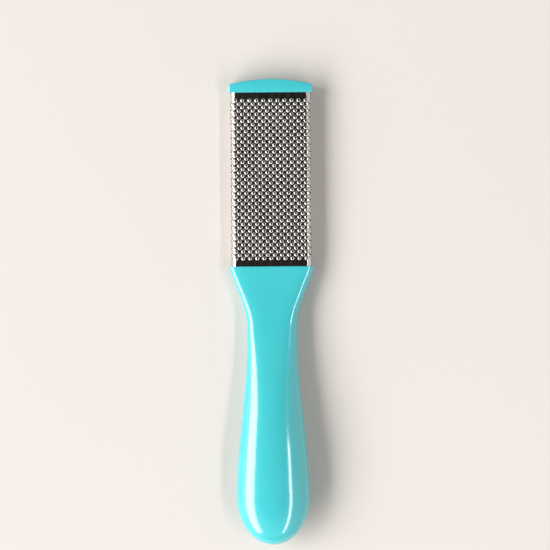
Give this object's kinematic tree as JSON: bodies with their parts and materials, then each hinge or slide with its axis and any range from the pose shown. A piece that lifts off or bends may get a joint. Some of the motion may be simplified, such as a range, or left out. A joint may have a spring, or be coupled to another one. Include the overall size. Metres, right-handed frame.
{
  "type": "foot file",
  "caption": "Hand-held foot file: flat head with a pierced steel rasp plate, bowed end cap and a waisted, bulbous glossy plastic handle.",
  "frame": {"origin": "middle of the overall length and width, on the plane that the file's back lies on", "axes": "+Y along the file towards the capped tip, +Z out of the front rasp face, +X across the file to the right"},
  "size_m": [0.0464, 0.25, 0.0221],
  "materials": {
    "turquoise_plastic": "glossy moulded turquoise plastic",
    "core_plastic": "matt black moulded plastic",
    "rasp_steel": "bright stainless sheet, punched"
  },
  "bodies": {
    "root": {"handle_front_shell": "turquoise_plastic", "handle_back_shell": "turquoise_plastic", "end_cap": "turquoise_plastic", "core_frame": "core_plastic", "front_rasp_plate": "rasp_steel", "back_rasp_plate": "rasp_steel"}
  },
  "joints": []
}
